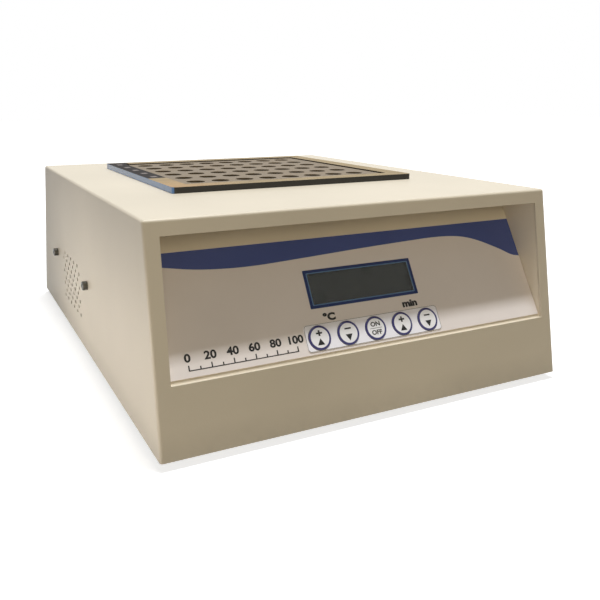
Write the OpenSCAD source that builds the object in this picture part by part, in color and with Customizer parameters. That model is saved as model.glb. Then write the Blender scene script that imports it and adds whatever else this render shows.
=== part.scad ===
// Dry block heater for the laboratory bench.
// A folded sheet-metal case with a control panel set back in its front face, and an
// aluminium block with wells for tubes in its top. The origin is on the bench, under the
// middle of the case; +X is the user's right, +Y the back and +Z up.

/* [Case] */
// Width of the case
case_w = 300; // [280:5:340]
// Depth of the case along its bottom edge
case_d = 415; // [400:5:450]
// Height of the case without its feet
case_h = 133.5; // [128:0.5:150]
// How far the front face leans back, in degrees
front_lean = 9; // [5:0.5:11]
// How far the back face leans forward, in degrees
rear_lean = 18; // [8:1:20]
// Thickness of the sheet steel
sheet = 1.5; // [1:0.1:1.8]
// Outside radius of the folds
fold_r = 2; // [2:0.5:5]
// Height of the rubber feet
foot_h = 5; // [4:0.5:12]

/* [Control panel] */
// Width of the window in the front face
window_w = 281; // [270:1:282]
// Height of the window's lower edge above the bottom of the case
window_low = 41.2; // [38:0.2:46]
// Height of the window's upper edge above the bottom of the case
window_high = 124; // [118:0.5:124]
// How far the panel leans back, in degrees
panel_lean = 29.5; // [24:0.5:31]
// Width of the glass of the display
display_w = 78.2; // [60:0.2:80]
// Height of the glass of the display
display_h = 20.5; // [14:0.5:22]
// Diameter of a key
key_d = 15.6; // [12:0.2:16]
// Distance from key to key
key_pitch = 20.9; // [18:0.1:22]
// How far a key goes in
key_travel = 0.4; // [0.2:0.1:0.5]

/* [Tube block] */
// Number of wells across the block
well_columns = 8; // [4:1:8]
// Number of wells from front to back
well_rows = 6; // [3:1:6]
// Distance between wells across the block
well_pitch_x = 20; // [18:0.5:21]
// Distance between wells from front to back
well_pitch_y = 27.5; // [20:0.5:28]
// How far the field of wells lies to the right of the block's middle
well_shift = -3; // [-4:1:4]
// Diameter of a well
well_d = 14; // [10:0.5:15]
// Depth of a well, to the start of its cone
well_depth = 34; // [25:1:36]
// Side of the square block
block_side = 172; // [168:2:180]
// Height of the block
block_h = 45; // [40:1:50]

/* [Top frame] */
// Side of the square frame round the block
frame_side = 203; // [200:1:214]
// Thickness of the frame
frame_t = 4.5; // [4:0.5:8]
// Distance from the front bottom edge of the case to the middle of the block
block_y = 218; // [215:1:228]

/* [Side vents] */
// Diameter of a vent hole
vent_d = 3.2; // [2.5:0.1:4]
// Distance between holes along a row
vent_pitch = 13.9; // [10:0.1:15]
// Distance from row to row
vent_row = 5.7; // [5:0.1:7]

/* [Hidden] */

steel = [0.80, 0.75, 0.67];
zinc = [0.72, 0.73, 0.74];
black = [0.12, 0.12, 0.13];
circuit_green = [0.10, 0.35, 0.20];
eps = 0.01;
cut = 1;

// Places in the case, measured from its front bottom edge and its bottom
half_w = case_w / 2;
front_t = sheet / cos(front_lean);
panel_y = 9.4;
panel_z = 42;
carrier_t = 1.2;
carrier_top = case_h - sheet - 0.2;
overlay_t = 0.6;
film_t = 0.3;
display_x = -1.2;
display_v = 42;
key_v = 10.8;
keypad_w = 103.2;
keypad_h = 17;
overlay_gap = 0.5;
overlay_low = 1;
overlay_high = 76;

// The block and what it stands in
block_recess = 0.8;
block_top = case_h + frame_t - block_recess;
block_low = block_top - block_h;
frame_gap = 1;
frame_inner = block_side + 2 * frame_gap;
plate_t = 8;
mat_t = 2.5;
wool_t = 15;
wool_clear = 1;
pan_t = 1;
pan_side = block_side + 2 * (wool_clear + wool_t + pan_t);
pan_low = block_low - plate_t - mat_t - wool_t - pan_t;
pan_high = case_h - sheet - 0.5;
top_hole = block_side + 8;
post_step = 150;

// The control board on the tray
board_x = -62;
board_y = 74;
board_w = 120;
board_d = 62;
board_z = 12;

// The fan behind the left side's vents
vent_y = 252.6;
vent_z = 44.3;
vent_rows = 8;
fan_side = 60;
fan_t = 20;
fan_hole_step = 50;
bracket_screw_step = 134.6;
bracket_screw_z = 57.3;
bracket_gap = 5;
bracket_t = 1.2;
bracket_x = -half_w + sheet + bracket_gap;
fan_x = bracket_x + bracket_t;

// The back panel, measured up its own slope
rear_rim = 14;
rear_height = (case_h - rear_rim) / cos(rear_lean);
inlet_u = -95;
inlet_v = 42;
switch_u = -48;
fuse_u = -10;
rear_screw_u = half_w - 9;
plate_face = -sheet;
switch_tilt = 9;
pivot_d = 2.4;
foot_recess = 2.6;

// ---------- frames of reference ----------

// x from the middle, y from the front bottom edge, z from the bottom of the case
module in_case() {
    translate([0, -case_d / 2, foot_h]) children();
}

// x across, y up the slope of the panel, z out of it towards the user
module on_panel() {
    in_case() translate([0, panel_y, panel_z]) rotate([90 - panel_lean, 0, 0]) children();
}

// x across as seen from behind, y up the slope of the back, z out of it
module on_back() {
    in_case() translate([0, case_d, 0]) rotate([90 + rear_lean, 0, 0])
        rotate([0, 180, 0]) children();
}

module over_block() {
    in_case() translate([0, block_y, 0]) children();
}

function front_y(z) = z * tan(front_lean);
function rear_y(z) = case_d - z * tan(rear_lean);
function panel_y_at(z) = panel_y + (z - panel_z) * tan(panel_lean);

// ---------- shared shapes ----------

module centred_box(size, low = 0) {
    translate([-size[0] / 2, -size[1] / 2, low]) cube(size);
}

module rounded_slab(w, h, t, r) {
    cube_w = w - 2 * r;
    cube_h = h - 2 * r;
    linear_extrude(t) {
        square([cube_w, h], center = true);
        square([w, cube_h], center = true);
        for (x = [-1, 1], y = [-1, 1])
            translate([x * cube_w / 2, y * cube_h / 2]) circle(r, $fn = 48);
    }
}

module at_corners(dx, dy) {
    for (x = [-1, 1], y = [-1, 1])
        translate([x * dx / 2, y * dy / 2, 0]) children();
}

// Pan-head machine screw: head above z = 0, shank below
module pan_screw(d, length) {
    cylinder(h = length + eps, d = d, $fn = 24);
    translate([0, 0, length]) intersection() {
        cylinder(h = 0.7 * d, d = 2 * d, $fn = 32);
        translate([0, 0, 0.7 * d - 1.6 * d]) sphere(1.6 * d, $fn = 48);
    }
}

module screw_down(d, length) {
    difference() {
        translate([0, 0, -length]) pan_screw(d, length);
        for (a = [0, 90])
            rotate(a) translate([-0.75 * d, -0.12 * d, 0.45 * d]) cube([1.5 * d, 0.24 * d, d]);
    }
}

// Cap screw with a hexagon socket: head above z = 0, shank below
module cap_screw(d, length) {
    difference() {
        union() {
            translate([0, 0, -length]) cylinder(h = length + eps, d = d, $fn = 24);
            cylinder(h = 0.85 * d, d = 1.75 * d, $fn = 48);
            translate([0, 0, 0.85 * d]) cylinder(h = 0.15 * d, d1 = 1.75 * d, d2 = 1.5 * d, $fn = 48);
        }
        translate([0, 0, 0.45 * d]) cylinder(h = d, d = 0.866 * d, $fn = 6);
    }
}

// Round spacer with a through hole
module spacer(d, bore, length) {
    difference() {
        cylinder(h = length, d = d, $fn = 32);
        translate([0, 0, -cut]) cylinder(h = length + 2 * cut, d = bore, $fn = 24);
    }
}

// ---------- the case ----------

// The wedge-shaped body of the case, its folds rounded to radius r about one set of centres
module case_body(r) {
    top_z = case_h - fold_r;
    low_z = -fold_r - 10;
    x = half_w - fold_r;
    hull()
        for (side = [-1, 1], z = [low_z, top_z]) {
            translate([side * x, front_y(z) + fold_r / cos(front_lean), z]) sphere(r, $fn = 32);
            translate([side * x, rear_y(z) - fold_r / cos(rear_lean), z]) sphere(r, $fn = 32);
        }
}

module vent_field() {
    for (row = [0 : vent_rows - 1]) {
        holes = row % 2 == 0 ? 6 : 5;
        for (i = [0 : holes - 1])
            translate([(row - (vent_rows - 1) / 2) * vent_row, (i - (holes - 1) / 2) * vent_pitch, 0])
                children();
    }
}

module cover_holes() {
    // window for the control panel
    in_case() translate([-window_w / 2, -20, window_low])
        cube([window_w, 60, window_high - window_low]);
    // opening over the block
    over_block() centred_box([top_hole, top_hole, 30], case_h - 15);
    // back opening, inside a folded rim
    on_back() translate([-half_w + rear_rim, -20, -10])
        cube([case_w - 2 * rear_rim, 20 + rear_height - 2, 20]);
    // vents in both sides
    in_case() for (side = [-1, 1])
        translate([side * half_w, vent_y, vent_z]) rotate([0, -90, 0])
            vent_field() cylinder(h = 8, d = vent_d, $fn = 16, center = true);
    // screws in both sides
    both_sides() bracket_screw_places(-half_w) cylinder(h = 8, d = 4.3, $fn = 24, center = true);
    // screws of the back panel
    on_back() rear_screw_places() cylinder(h = 8, d = 3.4, $fn = 24, center = true);
    // studs of the top frame
    over_block() at_corners(frame_side - 12, frame_side - 12)
        translate([0, 0, case_h]) cylinder(h = 8, d = 3.4, $fn = 24, center = true);
}

// Inward rim along the bottom of the case, which the tray is screwed to
module bottom_rim() {
    rim = 14;
    in_case() difference() {
        translate([-half_w + sheet - 0.2, front_y(sheet) + 0.8, sheet])
            cube([case_w - 2 * sheet + 0.4, case_d - 2.6, sheet]);
        translate([-half_w + sheet + rim, rim + 3, 0])
            cube([case_w - 2 * sheet - 2 * rim, case_d, 10]);
    }
}

module cover_shell() {
    color(steel) difference() {
        union() {
            in_case() difference() {
                case_body(fold_r);
                case_body(fold_r - sheet);
                translate([-case_w, -case_d, -100]) cube([2 * case_w, 3 * case_d, 100]);
            }
            intersection() {
                bottom_rim();
                in_case() case_body(fold_r - sheet / 2);
            }
        }
        cover_holes();
        base_screw_places() cylinder(h = 12, d = 3.4, $fn = 24, center = true);
    }
}

module base_screw_places() {
    in_case() for (x = [-1, 1], y = [30, case_d / 2, case_d - 30])
        translate([x * (half_w - sheet - 8), y, 0]) children();
}

module foot_places() {
    in_case() for (x = [-1, 1], y = [45, case_d - 45])
        translate([x * (half_w - 40), y, 0]) children();
}

module base_tray() {
    edge = sheet + 0.3;
    tray_d = case_d - 2 * edge - 1;
    color(steel) difference() {
        in_case() translate([-half_w + edge, edge + 0.5, 0]) cube([case_w - 2 * edge, tray_d, sheet]);
        base_screw_places() cylinder(h = 12, d = 3.4, $fn = 24, center = true);
        foot_places() cylinder(h = 12, d = 4.3, $fn = 24, center = true);
        over_block() at_corners(post_step, post_step) cylinder(h = 12, d = 4.3, $fn = 24, center = true);
        in_case() board_places() cylinder(h = 12, d = 3.3, $fn = 24, center = true);
        // air slots in front of the heater housing
        in_case() for (i = [-4 : 4])
            translate([i * 12, case_d - 62, 0]) rounded_slab(4, 46, 6, 1.9);
    }
}

module rear_screw_places() {
    for (u = [-1, 1], v = [22, rear_height - 20])
        translate([u * rear_screw_u, v, 0]) children();
    for (u = [-70, 0, 70])
        translate([u, rear_height + 3.5, 0]) children();
}

module rear_panel() {
    plate_h = rear_height + 8;
    color(steel) difference() {
        on_back() translate([-half_w + fold_r + 0.3, sheet + 3.4, -2 * sheet])
            cube([case_w - 2 * fold_r - 0.6, plate_h - sheet - 3.4, sheet - eps]);
        on_back() rear_screw_places() cylinder(h = 12, d = 3.1, $fn = 24, center = true);
        on_back() translate([inlet_u, inlet_v, -6]) {
            centred_box([28.5, 21, 12], 0);
            for (x = [-20, 20]) translate([x, 0, 0]) cylinder(h = 12, d = 3.3, $fn = 24);
        }
        on_back() translate([switch_u, inlet_v, -6]) centred_box([19.4, 13.2, 12], 0);
        on_back() translate([fuse_u, inlet_v, -6]) cylinder(h = 12, d = 12.3, $fn = 48);
        // air holes on the other half
        on_back() for (i = [0 : 8], j = [0 : 4])
            translate([45 + i * 9 + (j % 2) * 4.5, 24 + j * 8, -6]) cylinder(h = 12, d = 4, $fn = 16);
    }
}

// ---------- the control panel ----------

module display_place() {
    translate([display_x, display_v, 0]) children();
}

module key_place(i) {
    translate([(i - 2) * key_pitch, key_v, 0]) children();
}

// One cheek closes the side of the recess between the front face and the sloping panel
module carrier_cheek(x) {
    low = window_low;
    front = front_t + 0.3;
    back = carrier_t / cos(panel_lean);
    in_case() translate([x, 0, 0]) rotate([90, 0, 90]) linear_extrude(carrier_t)
        polygon([[front_y(low) + front, low],
                 [front_y(carrier_top) + front, carrier_top],
                 [panel_y_at(carrier_top) + back, carrier_top],
                 [panel_y_at(low) + back, low]]);
}

module panel_carrier() {
    cheek_x = window_w / 2;
    plate_low = -2;
    plate_high = (carrier_top - panel_z) / cos(panel_lean);
    flange_y = panel_y_at(carrier_top);
    color(steel) difference() {
        union() {
            on_panel() translate([-cheek_x - carrier_t, plate_low, -carrier_t])
                cube([window_w + 2 * carrier_t, plate_high - plate_low - 0.6, carrier_t]);
            carrier_cheek(cheek_x);
            carrier_cheek(-cheek_x - carrier_t);
            // flange under the top of the case
            in_case() translate([-cheek_x, flange_y - 1, carrier_top - carrier_t])
                cube([window_w, 13, carrier_t]);
            // flange behind the lower edge of the window
            in_case() translate([-cheek_x, front_y(window_low) + front_t + 0.3, window_low - 1.4])
                cube([window_w, panel_y - front_y(window_low) - front_t + 0.2, carrier_t]);
        }
        on_panel() display_place() centred_box([display_w + 3, display_h + 3, 10], -5);
        on_panel() for (i = [0 : 4]) key_place(i) cylinder(h = 10, d = 12, $fn = 48, center = true);
    }
}

module control_overlay() {
    w = window_w - 2 * overlay_gap;
    h = overlay_high - overlay_low;
    color([0.84, 0.82, 0.79]) on_panel() difference() {
        translate([-w / 2, overlay_low, 0]) cube([w, h, overlay_t]);
        display_place() centred_box([display_w, display_h, 4], -2);
        for (i = [0 : 4]) key_place(i) cylinder(h = 4, d = key_d + 0.5, $fn = 64, center = true);
    }
}

module keypad_film() {
    color([0.92, 0.92, 0.91]) on_panel() difference() {
        translate([0, key_v + 0.3, overlay_t]) rounded_slab(keypad_w, keypad_h, film_t, 2.5);
        for (i = [0 : 4]) key_place(i) cylinder(h = 4, d = key_d + 0.5, $fn = 64, center = true);
    }
}

module display_window() {
    color([0.25, 0.26, 0.24]) on_panel() display_place()
        centred_box([display_w - 0.2, display_h - 0.2, overlay_t], 0);
}

module lcd_bezel() {
    color(black) on_panel() display_place() difference() {
        centred_box([display_w + 12, display_h + 11, 3.6], -carrier_t - 3.6);
        centred_box([display_w + 1.2, display_h + 1.2, 8], -carrier_t - 6);
    }
}

module lcd_glass() {
    color([0.24, 0.25, 0.20]) on_panel() display_place()
        centred_box([display_w + 1, display_h + 1, 2.2], -carrier_t - 2.6);
}

module lcd_board() {
    color(circuit_green) on_panel() display_place() difference() {
        centred_box([display_w + 26, display_h + 18, 1.6], -carrier_t - 5.2 - eps);
        translate([0, 0, -10]) at_corners(display_w + 20, display_h + 12)
            cylinder(h = 10, d = 2.6, $fn = 24);
    }
}

// A round membrane key: a low domed cap with a stem that reaches its switch
module membrane_key(i) {
    cap_low = overlay_t - 0.1;
    cap_t = 0.9;
    color([0.88, 0.88, 0.90]) on_panel() key_place(i) {
        translate([0, 0, cap_low]) cylinder(h = cap_t - 0.3, d = key_d, $fn = 64);
        translate([0, 0, cap_low + cap_t - 0.3]) cylinder(h = 0.3, d1 = key_d, d2 = key_d - 1, $fn = 64);
        translate([0, 0, -2.9]) cylinder(h = 2.9 + cap_low + eps, d = 5, $fn = 32);
    }
}

module key_switches() {
    color(black) on_panel() for (i = [0 : 4]) key_place(i) {
        centred_box([6, 6, 3.5], -7.4);
        translate([0, 0, -4]) cylinder(h = 0.6, d = 3.5, $fn = 32);
    }
}

module key_board() {
    color(circuit_green) on_panel() difference() {
        translate([0, key_v, -9]) centred_box([124, 18, 1.6 - eps]);
        translate([0, key_v, -12]) at_corners(118, 11) cylinder(h = 10, d = 2.6, $fn = 24);
    }
}

// Welded studs that carry the display board and the key board, with their nuts
module panel_studs() {
    color(zinc) on_panel() {
        display_place() at_corners(display_w + 20, display_h + 12) {
            translate([0, 0, -carrier_t - 8.5]) cylinder(h = 8.5, d = 2.5, $fn = 24);
            translate([0, 0, -carrier_t - 7.2]) cylinder(h = 1.9, d = 5.5, $fn = 6);
        }
        translate([0, key_v, 0]) at_corners(118, 11) {
            translate([0, 0, -12]) cylinder(h = 12 - carrier_t, d = 2.5, $fn = 24);
            translate([0, 0, -11]) cylinder(h = 1.9, d = 5, $fn = 6);
        }
    }
}

// ---------- electronics on the tray ----------

module board_places() {
    translate([board_x, board_y, 0]) at_corners(board_w - 10, board_d - 10) children();
}

module control_board() {
    color(circuit_green) in_case() difference() {
        translate([board_x, board_y, board_z]) centred_box([board_w, board_d, 1.6]);
        board_places() cylinder(h = 30, d = 3.3, $fn = 24);
    }
}

module board_standoffs() {
    color(zinc) in_case() board_places() translate([0, 0, sheet])
        cylinder(h = board_z - sheet - eps, d = 6.5, $fn = 6);
}

module board_parts() {
    z = board_z + 1.6 + eps;
    in_case() translate([board_x, board_y, z]) {
        // relay
        color([0.15, 0.25, 0.55]) translate([-44, -18, 0]) cube([19, 15, 15]);
        // processor in its socket
        color(black) translate([-12, -8, 0]) cube([36, 14, 5]);
        // smoothing capacitors
        color([0.2, 0.2, 0.35]) for (x = [34, 46]) translate([x, 14, 0]) cylinder(h = 16, d = 10, $fn = 32);
        // screw terminals
        color([0.2, 0.5, 0.3]) translate([-46, 17, 0]) for (i = [0 : 5])
            translate([i * 7.5, 0, 0]) difference() {
                cube([7.5, 9, 10]);
                translate([3.75, 4.5, 5]) cylinder(h = 6, d = 4, $fn = 24);
            }
    }
}

module mains_transformer() {
    in_case() translate([58, 74, sheet]) {
        color([0.35, 0.35, 0.37]) difference() {
            centred_box([66, 34, 50]);
            for (x = [-19, 19]) translate([x, 0, 8]) centred_box([14, 40, 34]);
        }
        color([0.75, 0.70, 0.50]) difference() {
            translate([0, 0, 8.3]) centred_box([51, 50, 33.4]);
            translate([0, 0, 7]) centred_box([24.6, 34.6, 36]);
            translate([0, 0, 7]) for (x = [-1, 1]) translate([x * 22, 0, 0]) centred_box([4, 60, 36]);
        }
    }
}

module solid_state_relay() {
    in_case() translate([75, 346, sheet]) {
        color(black) difference() {
            centred_box([45, 58, 24]);
            for (y = [-24, 24]) translate([0, y, -cut]) cylinder(h = 30, d = 4.5, $fn = 24);
        }
    }
}

// ---------- the block and its heater ----------

module block_frame() {
    color([0.66, 0.58, 0.47]) over_block() translate([0, 0, case_h]) difference() {
        rounded_slab(frame_side, frame_side, frame_t, 3);
        translate([0, 0, -cut]) rounded_slab(frame_inner, frame_inner, frame_t + 2 * cut, 1.5);
        at_corners(frame_side - 12, frame_side - 12) translate([0, 0, -cut])
            cylinder(h = 4 + cut, d = 2.5, $fn = 24);
    }
}

// Studs that hold the frame down from inside, each with a nut and washer
module frame_studs() {
    color(zinc) over_block() at_corners(frame_side - 12, frame_side - 12) {
        translate([0, 0, case_h - 10]) cylinder(h = 13.5, d = 2.5, $fn = 24);
        translate([0, 0, case_h - sheet - 0.8]) cylinder(h = 0.8 - eps, d = 7, $fn = 32);
        translate([0, 0, case_h - sheet - 3.2]) cylinder(h = 2.4, d = 6, $fn = 6);
    }
}

module well_places() {
    for (i = [0 : well_columns - 1], j = [0 : well_rows - 1])
        translate([well_shift + (i - (well_columns - 1) / 2) * well_pitch_x,
                   (j - (well_rows - 1) / 2) * well_pitch_y, 0]) children();
}

module well() {
    cone_h = 3;
    translate([0, 0, -well_depth]) cylinder(h = well_depth + cut, d = well_d, $fn = 32);
    translate([0, 0, -well_depth - cone_h]) cylinder(h = cone_h + eps, d1 = 5, d2 = well_d, $fn = 32);
}

module tube_block() {
    chamfer = 1;
    color([0.62, 0.57, 0.50]) over_block() difference() {
        translate([0, 0, block_low]) rounded_slab(block_side, block_side, block_h, 1);
        translate([0, 0, block_top]) well_places() well();
        for (a = [0, 90, 180, 270])
            rotate(a) translate([-block_side, block_side / 2 - chamfer, block_top])
                rotate([-45, 0, 0]) cube([2 * block_side, 4, 4]);
    }
}

module heater_plate() {
    color([0.70, 0.70, 0.72]) over_block() difference() {
        translate([0, 0, block_low - plate_t]) centred_box([block_side, block_side, plate_t]);
        // bore for the temperature probe, from the back edge
        translate([30, block_side / 2 - 60, block_low - plate_t / 2]) rotate([-90, 0, 0])
            cylinder(h = 80, d = 4.2, $fn = 32);
    }
}

module temperature_probe() {
    color(zinc) over_block() translate([30, block_side / 2 - 58, block_low - plate_t / 2])
        rotate([-90, 0, 0]) cylinder(h = 58, d = 4, $fn = 32);
}

module heating_mat() {
    color([0.72, 0.30, 0.18]) over_block()
        translate([0, 0, block_low - plate_t - mat_t]) rounded_slab(block_side - 8, block_side - 8, mat_t, 6);
}

module thermal_cutout() {
    color(black) over_block() translate([-50, -50, block_low - plate_t - mat_t - 7]) {
        cylinder(h = 7 - eps, d = 16, $fn = 48);
        for (x = [-1, 1]) translate([x * 5, 0, -4]) centred_box([0.8, 6, 4.5]);
    }
}

module insulation() {
    outer = pan_side - 2 * pan_t - 0.4;
    inner = block_side + 2 * wool_clear;
    floor_z = pan_low + pan_t;
    color([0.93, 0.91, 0.86]) over_block() difference() {
        translate([0, 0, floor_z]) centred_box([outer, outer, pan_high - floor_z - 1]);
        translate([0, 0, floor_z + wool_t - eps]) centred_box([inner, inner, case_h]);
        translate([-50, -50, floor_z]) centred_box([22, 22, wool_t + cut]);
        // notches round the studs of the top frame
        at_corners(frame_side - 8, frame_side - 8) centred_box([16, 16, 20], case_h - 12);
    }
}

module heater_housing() {
    color(zinc) over_block() difference() {
        translate([0, 0, pan_low]) centred_box([pan_side, pan_side, pan_high - pan_low]);
        translate([0, 0, pan_low + pan_t]) centred_box([pan_side - 2 * pan_t, pan_side - 2 * pan_t, case_h]);
        at_corners(post_step, post_step) translate([0, 0, pan_low - cut]) cylinder(h = 6, d = 4.3, $fn = 24);
    }
}

module housing_posts() {
    color(zinc) over_block() at_corners(post_step, post_step)
        translate([0, 0, sheet + eps]) cylinder(h = pan_low - sheet - 2 * eps, d = 10, $fn = 6);
}

// ---------- the fan ----------

module on_fan() {
    in_case() translate([0, vent_y, vent_z]) rotate([0, 90, 0]) children();
}

module fan_hole_places() {
    at_corners(fan_hole_step, fan_hole_step) children();
}

// A plate that stands on the bottom rim along the side, with a foot turned inwards
module upright(y, width) {
    in_case() translate([bracket_x, y - width / 2, 2 * sheet + eps]) {
        cube([bracket_t, width, 74]);
        cube([9, width, bracket_t]);
    }
}

module both_sides() {
    children();
    mirror([1, 0, 0]) children();
}

module fan_bracket() {
    color(zinc) difference() {
        upright(vent_y, bracket_screw_step + 14);
        on_fan() translate([0, 0, bracket_x - cut]) cylinder(h = 6, d = 56, $fn = 64);
        on_fan() translate([0, 0, bracket_x - cut]) fan_hole_places() cylinder(h = 6, d = 3.4, $fn = 24);
        bracket_screw_places(bracket_x - cut) cylinder(h = 6, d = 4.3, $fn = 24);
        base_screw_places() cylinder(h = 16, d = 3.4, $fn = 24, center = true);
    }
}

// On the right, two narrow brackets hold the cover in the same way
module cover_brackets() {
    color(zinc) mirror([1, 0, 0]) difference() {
        for (y = [-1, 1]) upright(vent_y + y * bracket_screw_step / 2, 16);
        bracket_screw_places(bracket_x - cut) cylinder(h = 6, d = 4.3, $fn = 24);
    }
}

module bracket_screw_places(x) {
    in_case() for (y = [-1, 1])
        translate([x, vent_y + y * bracket_screw_step / 2, bracket_screw_z]) rotate([0, 90, 0]) children();
}

module bracket_spacers() {
    color(zinc) both_sides() bracket_screw_places(-half_w + sheet + eps)
        spacer(8, 4.3, bracket_gap - 2 * eps);
}

// The two dark screws in each side, with their nuts
module cover_screws() {
    color(black) both_sides() bracket_screw_places(-half_w) rotate([180, 0, 0]) {
        translate([0, 0, eps]) cap_screw(4, 12);
        translate([0, 0, -sheet - bracket_gap - bracket_t - 3.2]) cylinder(h = 3.1, d = 7.6, $fn = 6);
    }
}

module fan_frame() {
    hub_d = 26;
    color(black) on_fan() translate([0, 0, fan_x]) {
        difference() {
            rounded_slab(fan_side, fan_side, fan_t, 4);
            translate([0, 0, -cut]) cylinder(h = fan_t + 2 * cut, d = 56, $fn = 64);
            translate([0, 0, -cut]) fan_hole_places() cylinder(h = fan_t + 2 * cut, d = 4, $fn = 24);
        }
        // motor base on four struts, on the inner side
        translate([0, 0, fan_t - 2.5]) cylinder(h = 2.5, d = hub_d, $fn = 48);
        for (a = [45 : 90 : 315])
            rotate(a) translate([hub_d / 2 - 1, -1.5, fan_t - 2.5]) cube([17, 3, 2.5]);
        translate([0, 0, 7]) cylinder(h = fan_t - 9, d = 3, $fn = 24);
    }
}

module fan_rotor() {
    hub_d = 24;
    blades = 7;
    tip_r = 27;
    color([0.2, 0.2, 0.22]) on_fan() translate([0, 0, fan_x]) {
        difference() {
            translate([0, 0, 2]) cylinder(h = 14.5, d = hub_d, $fn = 48);
            translate([0, 0, 4]) cylinder(h = 14, d = hub_d - 3, $fn = 48);
        }
        difference() {
            translate([0, 0, 4 - eps]) cylinder(h = 10, d = 7, $fn = 32);
            translate([0, 0, 4]) cylinder(h = 11, d = 3.1, $fn = 24);
        }
        for (i = [0 : blades - 1])
            rotate(i * 360 / blades) intersection() {
                translate([hub_d / 2 - 0.6, 0, 8.5]) rotate([38, 0, 0])
                    translate([0, -9, -0.6]) cube([tip_r, 18, 1.2]);
                translate([0, 0, 3]) cylinder(h = 11.5, r = tip_r, $fn = 64);
            }
    }
}

module fan_screws() {
    color(zinc) on_fan() translate([0, 0, bracket_x]) fan_hole_places() {
        rotate([180, 0, 0]) translate([0, 0, eps]) screw_down(3, 26);
        translate([0, 0, bracket_t + fan_t + eps]) cylinder(h = 2.4, d = 6, $fn = 6);
    }
}

// ---------- back panel fittings ----------

module power_inlet() {
    color(black) on_back() translate([inlet_u, inlet_v, plate_face]) difference() {
        union() {
            rounded_slab(50, 24, 3, 5);
            centred_box([28, 20.4, 22], -20);
        }
        // socket, with two corners cut as on every such inlet
        translate([0, 0, -13]) linear_extrude(20)
            polygon([[-12.2, -8.2], [12.2, -8.2], [12.2, 3.2], [7.2, 8.2], [-7.2, 8.2], [-12.2, 3.2]]);
        for (x = [-20, 20]) translate([x, 0, -cut]) cylinder(h = 8, d = 3.3, $fn = 24);
        three_pins(2.04, 4.04);
    }
}

// Live and neutral below, earth above
module three_pins(t, w) {
    for (x = [-7, 7]) translate([x, -2, 0]) centred_box([t, w, 22], -26);
    translate([0, 2, 0]) centred_box([t, w, 22], -26);
}

module inlet_pins() {
    color(zinc) on_back() translate([inlet_u, inlet_v, plate_face]) three_pins(2, 4);
}

module inlet_screws() {
    color(zinc) on_back() for (x = [-20, 20])
        translate([inlet_u + x, inlet_v, plate_face + 3 + eps]) screw_down(3, 9);
}

module fuse_holder() {
    color(black) on_back() translate([fuse_u, inlet_v, plate_face]) difference() {
        union() {
            cylinder(h = 2.5, d = 16, $fn = 48);
            translate([0, 0, -28]) cylinder(h = 28 + eps, d = 12, $fn = 48);
            translate([0, 0, -6.5]) cylinder(h = 5 - 0.05, d = 17, $fn = 6);
        }
        translate([0, 0, -24]) cylinder(h = 30, d = 9, $fn = 48);
    }
}

// Bayonet cap with a coin slot; it turns to let the fuse out
module fuse_cap() {
    color([0.16, 0.16, 0.17]) on_back() translate([fuse_u, inlet_v, plate_face]) difference() {
        union() {
            translate([0, 0, 2.55]) cylinder(h = 4, d = 13, $fn = 48);
            translate([0, 0, -10]) cylinder(h = 12.6, d = 8.9, $fn = 48);
        }
        translate([0, 0, 5.2]) centred_box([9, 1.6, 4]);
    }
}

module power_switch() {
    color(black) on_back() translate([switch_u, inlet_v, plate_face]) difference() {
        union() {
            rounded_slab(21, 15, 2, 1.5);
            centred_box([19, 12.8, 18], -18 + eps);
        }
        translate([0, 0, -9]) centred_box([16.4, 10.8, 20]);
        // bearing of the rocker
        translate([0, 0, -3]) rotate([90, 0, 0]) cylinder(h = 20, d = pivot_d + 0.1, $fn = 32, center = true);
    }
}

// Rocker with two faces that meet over its pivot; at rest it is tipped to off
module switch_rocker() {
    color([0.16, 0.16, 0.17]) on_back() translate([switch_u, inlet_v, plate_face - 3])
        rotate([0, switch_tilt, 0]) rotate([90, 0, 0]) {
            translate([0, 0, -5.2]) linear_extrude(10.4)
                polygon([[-6.6, 0], [-7, 7], [0, 5.6], [7, 7], [6.6, 0], [3, -4], [-3, -4]]);
            cylinder(h = 12.4, d = pivot_d, $fn = 32, center = true);
        }
}

module rear_screws() {
    color(zinc) on_back() rear_screw_places() translate([0, 0, eps]) screw_down(3, 8);
}

// ---------- feet and base screws ----------

module feet() {
    color([0.13, 0.13, 0.13]) foot_places() translate([0, 0, -foot_h]) difference() {
        cylinder(h = foot_h - eps, d1 = 20, d2 = 22, $fn = 48);
        translate([0, 0, -cut]) cylinder(h = foot_recess + cut, d = 9.5, $fn = 32);
        cylinder(h = foot_h + cut, d = 4.3, $fn = 24);
    }
}

module foot_screws() {
    color(zinc) foot_places() rotate([180, 0, 0]) translate([0, 0, foot_h - foot_recess + eps]) screw_down(3, 8);
}

module base_screws() {
    color(zinc) base_screw_places() rotate([180, 0, 0]) translate([0, 0, eps]) screw_down(3, 7);
}

cover_shell();
base_tray();
rear_panel();
panel_carrier();
control_overlay();
keypad_film();
display_window();
lcd_bezel();
lcd_glass();
lcd_board();
membrane_key(0);  // temp_up_key
membrane_key(1);  // temp_down_key
membrane_key(2);  // start_key
membrane_key(3);  // time_up_key
membrane_key(4);  // time_down_key
key_switches();
key_board();
panel_studs();
control_board();
board_parts();
board_standoffs();
mains_transformer();
solid_state_relay();
block_frame();
frame_studs();
tube_block();
heater_plate();
heating_mat();
thermal_cutout();
temperature_probe();
insulation();
heater_housing();
housing_posts();
fan_bracket();
cover_brackets();
fan_frame();
fan_rotor();
fan_screws();
bracket_spacers();
cover_screws();
power_inlet();
inlet_pins();
fuse_holder();
fuse_cap();
power_switch();
switch_rocker();
rear_screws();
inlet_screws();
feet();
foot_screws();
base_screws();
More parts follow.
